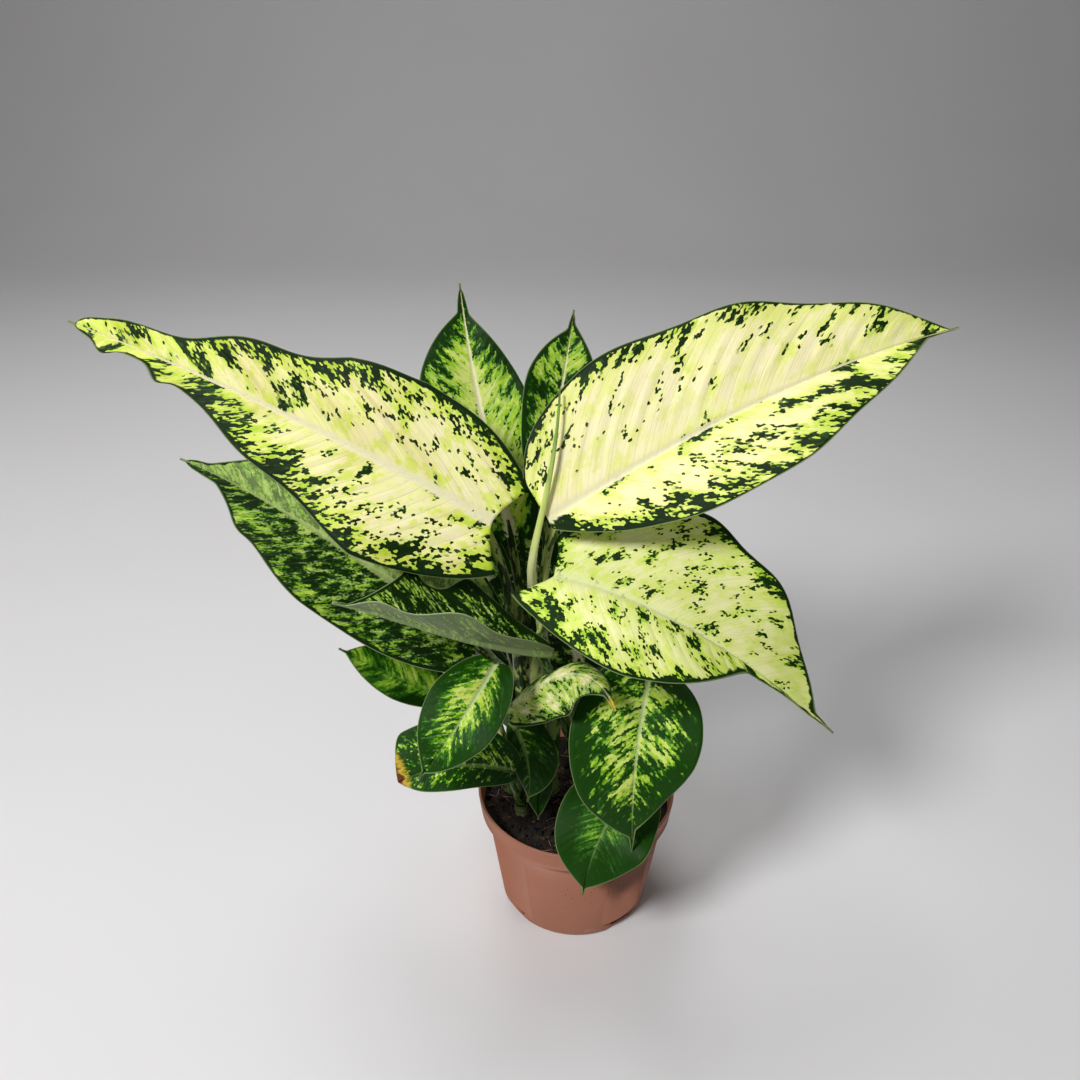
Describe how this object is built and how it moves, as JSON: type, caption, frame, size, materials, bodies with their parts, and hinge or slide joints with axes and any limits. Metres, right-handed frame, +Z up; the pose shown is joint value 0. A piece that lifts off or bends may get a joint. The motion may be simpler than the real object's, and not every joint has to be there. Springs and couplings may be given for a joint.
{
  "type": "potted dieffenbachia",
  "caption": "Young leafy house plant with cream, lime and dark green blotched leaves on short canes, in a round terracotta-coloured plastic nursery pot filled with soil.",
  "frame": {"origin": "centre of the pot's foot, on the surface that the pot stands on", "axes": "+Z up, -Y towards the plant's front as pictured, +X to the right of that view"},
  "size_m": [0.4474, 0.1755, 0.3691],
  "materials": {
    "pot_plastic": "satin terracotta-coloured polypropylene with a few scuffs and soil specks",
    "soil": null,
    "cane": "pale green stem with leaf rings, satin",
    "leaf_cream": "satin leaf, cream centre, lime fringe and dark green flecks",
    "leaf_lime": "satin leaf, lime centre with dark green flecks and margin",
    "leaf_dark": "satin leaf, dark green with a lime centre"
  },
  "bodies": {
    "root": {"pot": "pot_plastic", "soil": "soil", "cane_main": "cane", "cane_front": "cane", "cane_right": "cane", "cane_back": "cane", "leaf_upper_left": "leaf_cream", "leaf_upper_right": "leaf_cream", "leaf_lower_right": "leaf_cream", "leaf_curled": "leaf_cream", "leaf_lower_left": "leaf_lime", "leaf_upright_left": "leaf_lime", "leaf_upright_right": "leaf_lime", "leaf_small_left": "leaf_lime", "leaf_oval_front": "leaf_lime", "leaf_oval_left": "leaf_dark", "leaf_brown_tip": "leaf_dark", "leaf_folded": "leaf_dark", "leaf_over_rim": "leaf_dark", "leaf_small_centre": "leaf_dark", "leaf_under_centre": "leaf_dark", "leaf_back_left": "leaf_lime", "leaf_back_right": "leaf_lime", "leaf_back_middle": "leaf_lime", "leaf_back_low": "leaf_dark", "leaf_rolled": "leaf_lime"}
  },
  "joints": []
}
